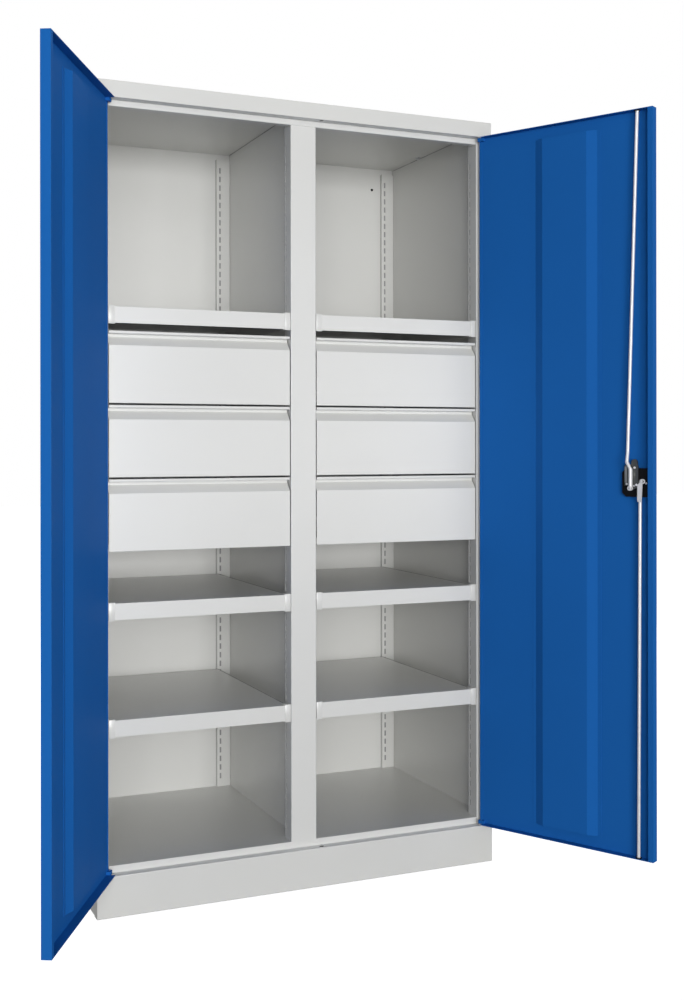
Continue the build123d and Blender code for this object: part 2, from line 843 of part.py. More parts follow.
def cam_plate():
    """Cam on the spindle's end, with a headed pin for each rod; drawn with the rods drawn in."""
    arm = block(
        (spindle_x - cam_radius, spindle_x + cam_radius),
        (cam_front, cam_back),
        (spindle_z - cam_end_radius, spindle_z + cam_end_radius),
    )
    for side in (-1, 1):
        end_x = spindle_x + side * cam_radius
        arm += rod((end_x, cam_front, spindle_z), (end_x, cam_back, spindle_z), cam_end_radius)
        pin_end = strap_back + cam_gap
        arm += rod((end_x, cam_back, spindle_z), (end_x, pin_end, spindle_z), cam_pin_radius)
        head_end = pin_end + cam_pin_head_height
        arm += rod((end_x, pin_end, spindle_z), (end_x, head_end, spindle_z), cam_pin_head)
    hub = rod((spindle_x, cam_front, spindle_z), (spindle_x, cam_back, spindle_z), 2 * spindle_radius)
    arm = arm + hub - through(spindle_x, spindle_z, spindle_radius)
    return arm.rotate(Axis((spindle_x, 0, spindle_z), (0, 1, 0)), cam_rest_angle)


def rod_bar(tip, foot):
    """Straight part of a locking rod with a pointed tip; places are (X, Z)."""
    rod_y = front + rod_depth
    bar = rod((foot[0], rod_y, foot[1]), (tip[0], rod_y, tip[1]), rod_radius)
    tip_edge = bar.faces().sort_by_distance((tip[0], rod_y, tip[1]))[0].edges()
    return chamfer(tip_edge, rod_radius / 3)


def slot_shape(pin, outward, radius):
    """Level slot outline round a cam pin, long enough for the pin's swing as the cam turns."""
    slot = Pos(outward * rod_slot_travel / 2, 0) * Rectangle(rod_slot_travel, 2 * radius)
    slot += Circle(radius) + Pos(outward * rod_slot_travel, 0) * Circle(radius)
    return Pos(*pin) * slot


def strap(outline, pin, outward):
    """Flat end of a rod with an eye round its cam pin; the outline is given as (X, Z)."""
    radius = cam_pin_radius + rod_slot_play
    flat = make_face(Polyline(*outline, close=True)) + slot_shape(pin, outward, radius + rod_eye_margin)
    flat -= slot_shape(pin, outward, radius)
    plane = Plane(origin=(0, strap_front, 0), x_dir=(1, 0, 0), z_dir=(0, -1, 0))
    return extrude(plane * flat, -rod_strap_sheet)


def upper_rod():
    """Rod that locks the right door into the roof; it steps over the case and ends in a small eye."""
    end = (spindle_x + upper_rod_end_offset, spindle_z + upper_rod_end_above)
    step = (end[0] + upper_rod_step_offset, end[1] + upper_rod_step_above)
    bend = (step[0] + upper_rod_bend_offset, step[1] + upper_rod_bend_above)
    bar = rod_bar((upper_rod_top_x, door_top - rod_end_setback), bend)
    rod_y = front + rod_depth
    corners = [
        (bend[0], rod_y, bend[1]),
        (step[0], rod_y + upper_rod_step_rise, step[1]),
        (end[0], rod_y + upper_rod_end_rise, end[1]),
        (end[0], rod_y + upper_rod_end_rise, spindle_z - upper_rod_stop_drop),
    ]
    for near, far in zip(corners, corners[1:]):
        bar += Pos(*near) * Sphere(rod_radius) + rod(near, far, rod_radius)
    pin = (spindle_x + pin_reach, spindle_z - pin_drop)
    outline = [
        (end[0] - rod_radius, pin[1]),
        (end[0] + rod_radius, pin[1]),
        (end[0] + rod_radius, end[1]),
        (end[0] - rod_radius, end[1]),
    ]
    return bar + strap(outline, pin, 1)


def lower_rod():
    """Rod that locks the right door into the ledge; its upper end is a tapered strap with an eye."""
    pin = (spindle_x - pin_reach, spindle_z + pin_drop)
    wide = (spindle_x - lower_strap_wide_offset, pin[1] - lower_strap_wide_drop)
    waist = (spindle_x - lower_strap_waist_offset, wide[1] - lower_strap_waist_drop)
    foot = (spindle_x - lower_rod_high_offset, waist[1] + lower_rod_high_rise)
    end_z = waist[1] - lower_strap_end_drop
    bar = rod_bar((lower_rod_low_x, door_bottom + rod_end_setback), foot)
    outline = [
        (waist[0] - lower_strap_end / 2, end_z),
        (waist[0] + lower_strap_end / 2, end_z),
        (waist[0] + lower_strap_waist / 2, waist[1]),
        (wide[0] + lower_strap_wide / 2, wide[1]),
        (pin[0] + cam_pin_head, pin[1]),
        (pin[0] - cam_pin_head, pin[1]),
        (wide[0] - lower_strap_wide / 2, wide[1]),
        (waist[0] - lower_strap_waist / 2, waist[1]),
    ]
    return bar + strap(outline, pin, -1)


def build_body():
    """Everything that stands still."""
    wall = side_wall()
    write(wall, "side_wall_right")
    write(mirrored(wall), "side_wall_left")
    write(roof_cap(), "roof_cap")
    write(ceiling_panel(), "ceiling_panel")
    write(back_panel(), "back_panel")
    write(floor_panel(), "floor_panel")
    write(top_rail(), "top_rail")
    write(plinth_front(), "plinth_front")
    write(plinth_back(), "plinth_back")
    write(both_sides(plinth_side()), "plinth_sides")
    write(centre_post(), "centre_post")
    write(partition(), "partition")
    upright = front_upright()
    write(upright, "front_upright_right")
    write(mirrored(upright), "front_upright_left")
    pair = rear_upright_pair()
    write(pair, "rear_uprights_right")
    write(mirrored(pair), "rear_uprights_left")
    write(hinge_pins(), "hinge_pins")


def build_shelves():
    """Three shelves to a bay, and their clips."""
    for name, top in shelf_tops.items():
        piece = shelf(top)
        write(piece, f"shelf_right_{name}")
        write(mirrored(piece), f"shelf_left_{name}")
    clips = shelf_clips()
    write(Compound(children=clips), "shelf_clips_right")
    write(Compound(children=[mirrored(clip) for clip in clips]), "shelf_clips_left")


def build_drawers():
    """Three drawers to a bay, each with its front, box and slides, and the cabinet's tracks."""
    tracks = []
    for step, name in enumerate(drawer_names):
        face = drawer_front(step)
        box = drawer_box(step)
        slides = Compound(children=[drawer_slide(step, side) for side in (-1, 1)])
        tracks += [runner_track(step, side) for side in (-1, 1)]
        for piece, kind in ((face, "front"), (box, "box"), (slides, "slides")):
            write(piece, f"drawer_right_{name}_{kind}")
            write(mirrored(piece), f"drawer_left_{name}_{kind}")
    write(Compound(children=tracks), "runner_tracks_right")
    write(Compound(children=[mirrored(track) for track in tracks]), "runner_tracks_left")


def build_doors():
    """Both doors in their open places, with the lock on the right one."""
    right_leaf = door_leaf() - lock_cutout() - rod_guide_holes()
    left_leaf = mirrored(door_leaf())
    blocks = Compound(children=hinge_blocks())
    hat = stiffener()
    right_pieces = {
        "right_door_panel": right_leaf,
        "right_door_stiffener": hat,
        "right_hinge_blocks": blocks,
        "handle_dish": handle_dish(),
        "lock_case": lock_case(),
        "lock_cylinder": lock_cylinder(),
        "lock_plug": lock_plug(),
        "turn_handle": turn_handle(),
        "cam_plate": cam_plate(),
        "upper_rod": upper_rod(),
        "lower_rod": lower_rod(),
    }
    for name, piece in right_pieces.items():
        write(swung(piece, 1), name)
    left_pieces = {
        "left_door_panel": left_leaf,
        "left_door_stiffener": mirrored(hat),
        "left_hinge_blocks": mirrored(blocks),
    }
    for name, piece in left_pieces.items():
        write(swung(piece, -1), name)


build_body()
build_shelves()
build_drawers()
build_doors()
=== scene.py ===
import json
from math import cos, pi, radians, sin

import bmesh
import bpy
from mathutils import Matrix, Vector


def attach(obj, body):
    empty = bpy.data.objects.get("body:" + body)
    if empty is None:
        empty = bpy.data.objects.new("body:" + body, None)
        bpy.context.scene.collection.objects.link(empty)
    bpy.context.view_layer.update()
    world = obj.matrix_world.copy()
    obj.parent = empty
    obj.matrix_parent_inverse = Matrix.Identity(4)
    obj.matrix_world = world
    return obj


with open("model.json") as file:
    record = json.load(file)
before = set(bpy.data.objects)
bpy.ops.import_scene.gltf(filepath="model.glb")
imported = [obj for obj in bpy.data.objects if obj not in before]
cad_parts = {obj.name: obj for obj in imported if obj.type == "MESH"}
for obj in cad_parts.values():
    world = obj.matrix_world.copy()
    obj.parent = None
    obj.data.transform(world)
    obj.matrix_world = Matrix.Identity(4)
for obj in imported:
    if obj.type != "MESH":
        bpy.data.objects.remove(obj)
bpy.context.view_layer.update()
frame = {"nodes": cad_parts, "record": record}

# Camera: metres, pixels of a 684 x 1000 picture, degrees to the right of +Y
CAMERA_PLACE = (-1.1738, -2.9312, 1.1004)
CAMERA_YAW = 23.489
CAMERA_ROLL = 0.059
FOCAL_PIXELS = 1267.8
HORIZON_ROW = 444.8
PICTURE_HEIGHT = 1000
SENSOR = 36.0

# Places repeated from the part's source, in millimetres, with both doors closed
DOOR_FRONT = -15.0
HINGE_X = 495.0
HINGE_Y = -9.0
OPEN_ANGLE = 117.8
SPINDLE = (46.0, 1003.0)
CYLINDER = (60.3, 1027.0)
CAM_PINS = ((60.72, 994.5), (31.28, 1011.5))
WALL_INSIDE = 522.3
PARTITION_HALF = 5.0
POST_HALF = 33.8
OPENING_HALF = 492.4
FRAME_FRONT = 10.0
UPRIGHT_BACK = 55.0
REAR_UPRIGHT_FRONT = 573.1
REAR_UPRIGHT_WIDTH = 40.0
PANEL_FRONT = 581.1
PANEL_BACK = 583.5
FLOOR_TOP = 113.4
FLOOR_FOLD = 15.5
CEILING = 1941.0
RAIL_BOTTOM = 1895.8
ROOF_UNDERSIDE = 1911.0
SLOT_INSET = 10.0
SHELF_TOPS = (453.0, 728.0, 1427.0)
SHELF_NEAR = 41.1
SHELF_FAR = 485.1
SHELF_FRONT = 12.0
LEDGE_UNDERSIDE = 95.8
SHEET = 1.2
HOLE_X = 453.0
HOLE_Z = 1878.0
BAY_CENTRE = 263.1
DRAWER_BASES = {"low": 849.0, "middle": 1024.0, "high": 1199.0}
DRAWER_REACH = 215.8

# Depths behind the front of a closed door, in millimetres
KNOB_FACE = 5.6
CYLINDER_FACE = 8.4
STIFFENER_FOOT = 2.2
DISH_BACK = 10.0
ROD_DEPTH = 13.0
CASE_BACK = 14.0
CAM_BACK = 16.3
PIN_END = 20.3

# Sheets of painted shade behind the slots, and dark lines of painted shade at the joints, in millimetres
SHADE_SHEET_GAP = 0.2
SHADE_SHEET_DEPTH = 1.0
SHADE_SHEET_BOTTOM = 120.0
REAR_SHADE_SHEET_TOP = 1915.0
FRONT_SHADE_SHEET_TOP = 1890.0
REAR_SHADE_SHEET_HALF = 6.5
FRONT_SHADE_SHEET_HALF = 6.0
SHADE_SHEET_EDGE = 0.2
JOINT_SUNK = 0.3
JOINT_EDGE = 0.25
FINE_EDGE = 0.1
CEILING_JOINT_PROUD = 1.2
BACK_JOINT_WIDTH = 1.1
BACK_JOINT_PROUD = 1.0
SHELF_JOINT_START = 0.6
SHELF_JOINT_END = 2.4
CORNER_JOINT_HALF = 0.5
CORNER_JOINT_PROUD = 0.12
FOLD_JOINT_WIDTH = 0.6
FOLD_JOINT_DEPTH = 1.4
FOLD_JOINT_PROUD = 0.15

# How far joint lines end from the sheets at their first and last ends, in millimetres
CEILING_JOINT_ENDS = (1.0, 0.5)
UPRIGHT_JOINT_ENDS = (1.0, 16.0)
SHELF_JOINT_ENDS = (10.0, 3.0)

# Covers, screws, rivets and welds, in millimetres
COVER_PROUD = 1.3
COVER_SUNK = 0.1
COVER_HEIGHTS = (41.5, 2.0)
COVER_REACH = 8.5
COVER_GAP = 0.8
COVER_EDGE = 0.5
BOLT_DEPTHS = (110.0, 389.0)
BOLT_INSET = 10.5
RIVET_INSET = 9.0
RIVET_HEIGHTS = range(150, 1900, 145)
DRAWER_SCREW_DEPTHS = (60.0, 170.0, 400.0, 520.0)
DRAWER_SCREW_RISE = 50.0
WELD_PLACES = (152.0, 336.0)
WELD_HEIGHTS = range(160, 1880, 90)
UPPER_SOCKET_X = 44.5
UPPER_GUIDE = (44.6, 1907.3)
LOWER_GUIDE = (42.7, 102.7)
FLANK_X = (71.8, 77.8)
FLANK_HEIGHTS = (1008.0, 1047.0)
FLANK_THICK = 0.8
FLANK_EDGE = 0.3
CASE_SCREWS = ((72.5, 1004.6), (52.0, 1044.5))
DISH_SCREW = (23.6, 1007.0)
CAM_RIVET = (52.5, 1000.5)

# Profiles of turned pieces: radius and height along the axis, in millimetres
BUSH = ((6.3, 0), (8.2, 0), (8.2, 22.0), (7.4, 23.0), (0, 23.0), (0, 21.0), (6.3, 21.0), (6.3, 0))
PLUG = ((0, 0.95), (3.3, 0.95), (3.8, 0.45), (3.85, -1.25), (5.6, -1.25), (5.6, -1.75), (4.8, -2.25),
        (0, -2.25))
WASHER = ((3.2, 0), (8.6, 0), (9.0, 0.3), (9.0, 1.3), (8.5, 1.6), (5.0, 1.6))
BOLT_HEAD = ((5.2, 1.6), (5.4, 2.0), (5.4, 4.6), (4.9, 5.2), (2.6, 5.3), (2.3, 3.4), (0, 3.2))
WELD = ((3.4, 0), (3.2, 0.25), (2.2, 0.3), (1.8, 0.12), (0, 0.1))
GROMMET = ((4.6, 0), (7.4, 0), (7.6, 0.4), (7.2, 2.2), (6.4, 2.6), (5.0, 2.6), (4.6, 2.2), (4.6, 0))
CYLINDER_COVER = ((9.4, 0), (9.4, 0.5), (8.9, 0.9), (7.6, 1.0), (7.2, 0.7), (0, 0.6))
PIN_CAP = ((3.2, -0.3), (3.2, 0), (2.9, 0.5), (2.0, 0.9), (0.9, 1.05), (0, 1.1))
BEZEL = ((8.1, 0), (10.4, 0), (10.4, 0.7), (9.8, 1.3), (8.6, 1.4), (8.1, 1.0), (8.1, 0))
KNOB_RING = ((9.6, 0), (9.8, 0.5), (10.4, 0.8), (11.6, 0.8), (12.2, 0.5), (12.4, 0))

# Corners round a turned piece, by how large it shows
WELD_STEPS = 16
SMALL_STEPS = 20
USUAL_STEPS = 28
BOLT_STEPS = 30
COVER_STEPS = 36
BEZEL_STEPS = 40

# Directions
UP = (0, 0, 1)
DOWN = (0, 0, -1)
TO_BACK = (0, 1, 0)
TO_FRONT = (0, -1, 0)

# Looks
SMOOTH_ANGLE = 35
DRIFT_START = 0.3
DRIFT_END = 0.7
COAT_GLOSS_SPREAD = 0.02
FLOOR_HALF = 20.0
FLOOR_CELLS = 8
FLOOR_DROP = 0.0005
FLOOR_BOUNCE = 0.3
FLOOR_SEEN = 0.65
FLOOR_GLOW = (0.82, 1.0)
GLOW_REACH = (1.2, 2.8)
AMBIENT = 0.14
WHITE = 1.0


# Node helpers

def empty_tree(owner):
    """The owner's node tree, cleared."""
    owner.use_nodes = True
    owner.node_tree.nodes.clear()
    return owner.node_tree


def new_material(name):
    """A material with only its output and its shader."""
    material = bpy.data.materials.new(name)
    tree = empty_tree(material)
    output = tree.nodes.new("ShaderNodeOutputMaterial")
    shader = tree.nodes.new("ShaderNodeBsdfPrincipled")
    tree.links.new(shader.outputs["BSDF"], output.inputs["Surface"])
    return material, tree, shader


def noise(tree, scale, detail):
    """Noise in the object's own metres; returns its value socket."""
    place = tree.nodes.new("ShaderNodeTexCoord")
    texture = tree.nodes.new("ShaderNodeTexNoise")
    texture.inputs["Scale"].default_value = scale
    texture.inputs["Detail"].default_value = detail
    tree.links.new(place.outputs["Object"], texture.inputs["Vector"])
    return texture.outputs["Fac"]


def blend_colours(tree, value, first, second):
    """A colour that goes from first to second as the value rises."""
    ramp = tree.nodes.new("ShaderNodeValToRGB")
    ramp.color_ramp.elements[0].position = DRIFT_START
    ramp.color_ramp.elements[0].color = (*first, 1)
    ramp.color_ramp.elements[1].position = DRIFT_END
    ramp.color_ramp.elements[1].color = (*second, 1)
    tree.links.new(value, ramp.inputs["Fac"])
    return ramp.outputs["Color"]


def spread(tree, value, low, high, start=0.0, end=1.0):
    """The value mapped from start..end to low..high."""
    remap = tree.nodes.new("ShaderNodeMapRange")
    remap.inputs["From Min"].default_value = start
    remap.inputs["From Max"].default_value = end
    remap.inputs["To Min"].default_value = low
    remap.inputs["To Max"].default_value = high
    tree.links.new(value, remap.inputs["Value"])
    return remap.outputs["Result"]


def bump(tree, shader, value, strength, distance):
    """Surface relief from a value."""
    node = tree.nodes.new("ShaderNodeBump")
    node.inputs["Strength"].default_value = strength
    node.inputs["Distance"].default_value = distance
    tree.links.new(value, node.inputs["Height"])
    tree.links.new(node.outputs["Normal"], shader.inputs["Normal"])


def mix_shaders(tree, output, factor, first, second):
    """Sends first to the output, and second where the factor is 1."""
    mix = tree.nodes.new("ShaderNodeMixShader")
    tree.links.new(factor, mix.inputs["Fac"])
    tree.links.new(first, mix.inputs[1])
    tree.links.new(second, mix.inputs[2])
    tree.links.new(mix.outputs["Shader"], output.inputs["Surface"])


def shade(colour, factor):
    """The colour made lighter or darker."""
    return tuple(channel * factor for channel in colour)


# Materials

def powder_coat(name, colour, roughness, sheen):
    """Powder paint: faint drift of shade, fine orange-peel relief, slightly uneven gloss."""
    material, tree, shader = new_material(name)
    drift = noise(tree, scale=2.2, detail=3.0)
    tint = blend_colours(tree, drift, shade(colour, 0.975), shade(colour, 1.02))
    tree.links.new(tint, shader.inputs["Base Color"])
    cloud = noise(tree, scale=35.0, detail=4.0)
    gloss = spread(tree, cloud, roughness - COAT_GLOSS_SPREAD, roughness + COAT_GLOSS_SPREAD)
    tree.links.new(gloss, shader.inputs["Roughness"])
    grain = noise(tree, scale=520.0, detail=3.0)
    bump(tree, shader, grain, strength=0.1, distance=0.00008)
    shader.inputs["Specular IOR Level"].default_value = sheen
    return material


def plated_metal(name, colour, roughness, metallic=1.0):
    """Zinc-plated, chromed or bare steel with an uneven shade and gloss."""
    material, tree, shader = new_material(name)
    patches = noise(tree, scale=60.0, detail=4.0)
    tint = blend_colours(tree, patches, shade(colour, 0.9), colour)
    tree.links.new(tint, shader.inputs["Base Color"])
    flecks = noise(tree, scale=220.0, detail=2.0)
    gloss = spread(tree, flecks, roughness - 0.08, roughness + 0.1)
    tree.links.new(gloss, shader.inputs["Roughness"])
    bump(tree, shader, flecks, strength=0.08, distance=0.0002)
    shader.inputs["Metallic"].default_value = metallic
    return material


def matt_surface(name, colour, roughness, sheen=0.3):
    """Moulded plastic, or a surface in shade, with a fine grain."""
    material, tree, shader = new_material(name)
    tone = noise(tree, scale=12.0, detail=2.0)
    tint = blend_colours(tree, tone, colour, shade(colour, 1.25))
    tree.links.new(tint, shader.inputs["Base Color"])
    grain = noise(tree, scale=2600.0, detail=1.0)
    gloss = spread(tree, grain, roughness - 0.06, roughness + 0.08)
    tree.links.new(gloss, shader.inputs["Roughness"])
    bump(tree, shader, grain, strength=0.25, distance=0.0002)
    shader.inputs["Specular IOR Level"].default_value = sheen
    return material


grey_paint = powder_coat("grey_paint", colour=(0.68, 0.68, 0.658), roughness=0.3, sheen=0.7)
blue_paint = powder_coat("blue_paint", colour=(0.0125, 0.126, 0.44), roughness=0.55, sheen=0.02)
zinc = plated_metal("zinc", colour=(0.72, 0.73, 0.75), roughness=0.34)
bright_zinc = plated_metal("bright_zinc", colour=(0.84, 0.84, 0.86), roughness=0.42, metallic=0.3)
chrome = plated_metal("chrome", colour=(0.6, 0.6, 0.62), roughness=0.22)
dark_steel = plated_metal("dark_steel", colour=(0.13, 0.135, 0.13), roughness=0.4)
flank_steel = plated_metal("flank_steel", colour=(0.3, 0.31, 0.32), roughness=0.5, metallic=0.5)
# Painted shade: the dark seen inside the shelf slots
shadow_steel = matt_surface("shadow_steel", colour=(0.28, 0.28, 0.28), roughness=0.7)
# Painted shade: the dark lines in the gaps where sheets meet
joint_shade_grey = matt_surface("joint_shade_grey", colour=(0.3, 0.3, 0.295), roughness=0.7)
black_plastic = matt_surface("black_plastic", colour=(0.005, 0.005, 0.006), roughness=0.5, sheen=0.1)

NODE_MATERIALS = {"upper_rod": bright_zinc, "lower_rod": bright_zinc}
SLOT_MATERIALS = {
    "body_paint": grey_paint,
    "door_paint": blue_paint,
    "zinc_plated_steel": zinc,
    "chromed_metal": chrome,
    "dark_steel": dark_steel,
    "black_plastic": black_plastic,
}


def dress_frame():
    """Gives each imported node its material."""
    for entry in frame["record"]["subparts"]:
        mesh = frame["nodes"][entry["node"]].data
        mesh.materials.clear()
        mesh.materials.append(NODE_MATERIALS.get(entry["node"], SLOT_MATERIALS[entry["material_slot"]]))


# Shapes

def lathe(made, profile, place, axis, steps=USUAL_STEPS):
    """A turned form: a profile swept round an axis from a place, in millimetres."""
    turn = Vector(UP).rotation_difference(Vector(axis)).to_matrix()
    rings = []
    for radius, height in profile:
        count = steps if radius > 0 else 1
        ring = []
        for step in range(count):
            angle = 2 * pi * step / steps
            point = Vector((radius * cos(angle), radius * sin(angle), height))
            ring.append(made.verts.new((Vector(place) + turn @ point) / 1000))
        rings.append(ring)
    for first, second in zip(rings, rings[1:]):
        for step in range(steps):
            ahead = (step + 1) % steps
            corners = [first[step % len(first)], first[ahead % len(first)],
                       second[ahead % len(second)], second[step % len(second)]]
            corners = list(dict.fromkeys(corners))
            if len(corners) > 2:
                made.faces.new(corners)


def slab(made, x_range, y_range, z_range, edge):
    """A plate with bevelled edges between limits, in millimetres."""
    part = bmesh.new()
    bmesh.ops.create_cube(part, size=1.0)
    for vert in part.verts:
        for index, (low, high) in enumerate((x_range, y_range, z_range)):
            vert.co[index] = (low + high) / 2 + vert.co[index] * (high - low)
    bmesh.ops.bevel(part, geom=part.edges[:], offset=edge, segments=2, profile=0.5, affect="EDGES")
    bmesh.ops.scale(part, vec=(0.001, 0.001, 0.001), verts=part.verts)
    spare = bpy.data.meshes.new("spare")
    part.to_mesh(spare)
    part.free()
    made.from_mesh(spare)
    bpy.data.meshes.remove(spare)


def span(face, side, sunk, proud):
    """Limits round a sheet's face, whose open side is 1 or -1: so deep in it, so far out of it."""
    return sorted((face - side * sunk, face + side * proud))


def on_door(place, depth):
    """The point at a place across the closed door, so deep behind the door's front."""
    return (place[0], DOOR_FRONT + depth, place[1])


def open_door(made, side):
    """Turns shapes drawn on a closed door to where the open door is; side is 1 for right."""
    hinge = Vector((side * HINGE_X, HINGE_Y, 0)) / 1000
    turn = Matrix.Rotation(side * radians(OPEN_ANGLE), 4, "Z")
    swing = Matrix.Translation(hinge) @ turn @ Matrix.Translation(-hinge)
    bmesh.ops.transform(made, matrix=swing, verts=made.verts)


def mirror_shapes(made):
    """Adds the mirror image of what is drawn, on the cabinet's other side."""
    copied = bmesh.ops.duplicate(made, geom=made.verts[:] + made.edges[:] + made.faces[:])["geom"]
    verts = [item for item in copied if isinstance(item, bmesh.types.BMVert)]
    bmesh.ops.scale(made, vec=(-1, 1, 1), verts=verts)


def add_object(name, data):
    """A new object in the scene."""
    thing = bpy.data.objects.new(name, data)
    bpy.context.collection.objects.link(thing)
    return thing


def piece(name, made, body, material):
    """Stores the drawn shapes as one piece that rides on a body."""
    bmesh.ops.recalc_face_normals(made, faces=made.faces[:])
    mesh = bpy.data.meshes.new(name)
    made.to_mesh(mesh)
    made.free()
    mesh.shade_smooth()
    mesh.set_sharp_from_angle(angle=radians(SMOOTH_ANGLE))
    mesh.materials.append(material)
    thing = add_object(name, mesh)
    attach(thing, body)


def screw_head(radius, height):
    """Profile of a pan head with a round drive recess."""
    return ((radius, 0), (radius, 0.45 * height), (0.8 * radius, 0.85 * height),
            (0.45 * radius, height), (0.4 * radius, 0.55 * height), (0, 0.5 * height))


def rivet_head(radius, height):
    """Profile of a blind rivet with its broken mandrel."""
    return ((radius, 0), (0.92 * radius, 0.4 * height), (0.6 * radius, 0.85 * height),
            (0.3 * radius, height), (0.26 * radius, 0.7 * height), (0, 0.68 * height))


# Pieces of the cabinet

def slot_shade_sheets():
    """Dark sheets of painted shade behind the rows of shelf slots."""
    made = bmesh.new()
    behind = span(REAR_UPRIGHT_FRONT + SHEET, 1, -SHADE_SHEET_GAP, SHADE_SHEET_DEPTH)
    for row in (PARTITION_HALF + REAR_UPRIGHT_WIDTH - SLOT_INSET,
                WALL_INSIDE - REAR_UPRIGHT_WIDTH + SLOT_INSET):
        width = span(row, 1, REAR_SHADE_SHEET_HALF, REAR_SHADE_SHEET_HALF)
        slab(made, width, behind, (SHADE_SHEET_BOTTOM, REAR_SHADE_SHEET_TOP), SHADE_SHEET_EDGE)
    width = span(UPRIGHT_BACK - SLOT_INSET, 1, FRONT_SHADE_SHEET_HALF, FRONT_SHADE_SHEET_HALF)
    for face, side in ((POST_HALF - SHEET, -1), (OPENING_HALF + SHEET, 1)):
        depth = span(face, side, -SHADE_SHEET_GAP, SHADE_SHEET_DEPTH)
        slab(made, depth, width, (SHADE_SHEET_BOTTOM, FRONT_SHADE_SHEET_TOP), SHADE_SHEET_EDGE)
    mirror_shapes(made)
    piece("slot_shade_sheets", made, "cabinet", shadow_steel)


def ceiling_joints(made):
    """Dark lines of painted shade at the joints between the ceiling and the bay's two sides."""
    front, back = CEILING_JOINT_ENDS
    run = (UPRIGHT_BACK + front, REAR_UPRIGHT_FRONT - back)
    heights = span(CEILING, -1, JOINT_SUNK, CEILING_JOINT_PROUD)
    for face, side in ((PARTITION_HALF, 1), (WALL_INSIDE, -1)):
        slab(made, span(face, side, JOINT_SUNK, CEILING_JOINT_PROUD), run, heights, JOINT_EDGE)


def upright_joints(made):
    """Dark lines of painted shade at the joints between the rear uprights and the back, and at the folds of
    the front ones.
    """
    bottom, top = UPRIGHT_JOINT_ENDS
    heights = (FLOOR_TOP + bottom, CEILING - top)
    y_range = span(PANEL_FRONT, -1, JOINT_SUNK, BACK_JOINT_PROUD)
    near = (PARTITION_HALF + REAR_UPRIGHT_WIDTH, 1)
    far = (WALL_INSIDE - REAR_UPRIGHT_WIDTH, -1)
    for face, side in (near, far):
        slab(made, span(face, side, JOINT_SUNK, BACK_JOINT_WIDTH), y_range, heights, JOINT_EDGE)
    y_range = span(UPRIGHT_BACK, 1, FOLD_JOINT_DEPTH, FOLD_JOINT_PROUD)
    for face, side in ((POST_HALF, 1), (OPENING_HALF, -1)):
        slab(made, span(face, side, FOLD_JOINT_WIDTH, FOLD_JOINT_PROUD), y_range, heights, FINE_EDGE)


def shelf_joints(made):
    """Dark lines of painted shade beside each shelf."""
    front, back = SHELF_JOINT_ENDS
    run = (SHELF_FRONT + front, REAR_UPRIGHT_FRONT - back)
    for top in SHELF_TOPS:
        heights = span(top, 1, JOINT_SUNK, JOINT_SUNK)
        for face, side in ((SHELF_NEAR, 1), (SHELF_FAR, -1)):
            slab(made, span(face, side, -SHELF_JOINT_START, SHELF_JOINT_END), run, heights, FINE_EDGE)


def corner_joints(made):
    """Dark lines of painted shade in the front frame's corners."""
    x_range = span(OPENING_HALF, 1, CORNER_JOINT_HALF, CORNER_JOINT_HALF)
    y_range = span(FRAME_FRONT, -1, JOINT_SUNK, CORNER_JOINT_PROUD)
    for heights in ((RAIL_BOTTOM, ROOF_UNDERSIDE - CORNER_JOINT_HALF), (FLOOR_TOP - FLOOR_FOLD, FLOOR_TOP)):
        slab(made, x_range, y_range, heights, FINE_EDGE)


def joint_shade_lines():
    """Dark lines of painted shade at the joints where the sheets meet."""
    made = bmesh.new()
    ceiling_joints(made)
    upright_joints(made)
    shelf_joints(made)
    corner_joints(made)
    mirror_shapes(made)
    piece("joint_shade_lines", made, "cabinet", joint_shade_grey)


def clip_covers():
    """Folded covers of the shelf clips, over the ends of each shelf's lip."""
    made = bmesh.new()
    below, above = COVER_HEIGHTS
    y_range = span(SHELF_FRONT, -1, COVER_SUNK, COVER_PROUD)
    for top in SHELF_TOPS:
        for x_range in ((POST_HALF + COVER_GAP, SHELF_NEAR + COVER_REACH),
                        (SHELF_FAR - COVER_REACH, OPENING_HALF - COVER_GAP)):
            slab(made, x_range, y_range, (top - below, top + above), COVER_EDGE)
    mirror_shapes(made)
    piece("clip_covers", made, "cabinet", grey_paint)


def rod_socket_shade():
    """Closed black plastic bushes that take the ends of the rods, in the ledge and under the roof; their
    closed black bottoms are also painted shade, the dark down the rod holes.
    """
    made = bmesh.new()
    lathe(made, BUSH, on_door((LOWER_GUIDE[0], LEDGE_UNDERSIDE), ROD_DEPTH), DOWN)
    lathe(made, BUSH, on_door((UPPER_SOCKET_X, ROOF_UNDERSIDE + SHEET), ROD_DEPTH), UP)
    piece("rod_socket_shade", made, "cabinet", black_plastic)


def hole_plug_shade():
    """Black blanking plugs pressed into the wall fixing holes from behind; their black is painted shade,
    the dark seen through the holes.
    """
    made = bmesh.new()
    for side in (-1, 1):
        lathe(made, PLUG, (side * HOLE_X, PANEL_FRONT, HOLE_Z), TO_FRONT)
    piece("wall_hole_plug_shade", made, "cabinet", black_plastic)


def ceiling_bolts():
    """Washered bolts that hold the roof, in the ceiling's corners."""
    made = bmesh.new()
    for depth in BOLT_DEPTHS:
        place = (WALL_INSIDE - BOLT_INSET, depth, CEILING)
        lathe(made, WASHER, place, DOWN)
        lathe(made, BOLT_HEAD, place, DOWN, BOLT_STEPS)
    mirror_shapes(made)
    piece("ceiling_bolts", made, "cabinet", zinc)


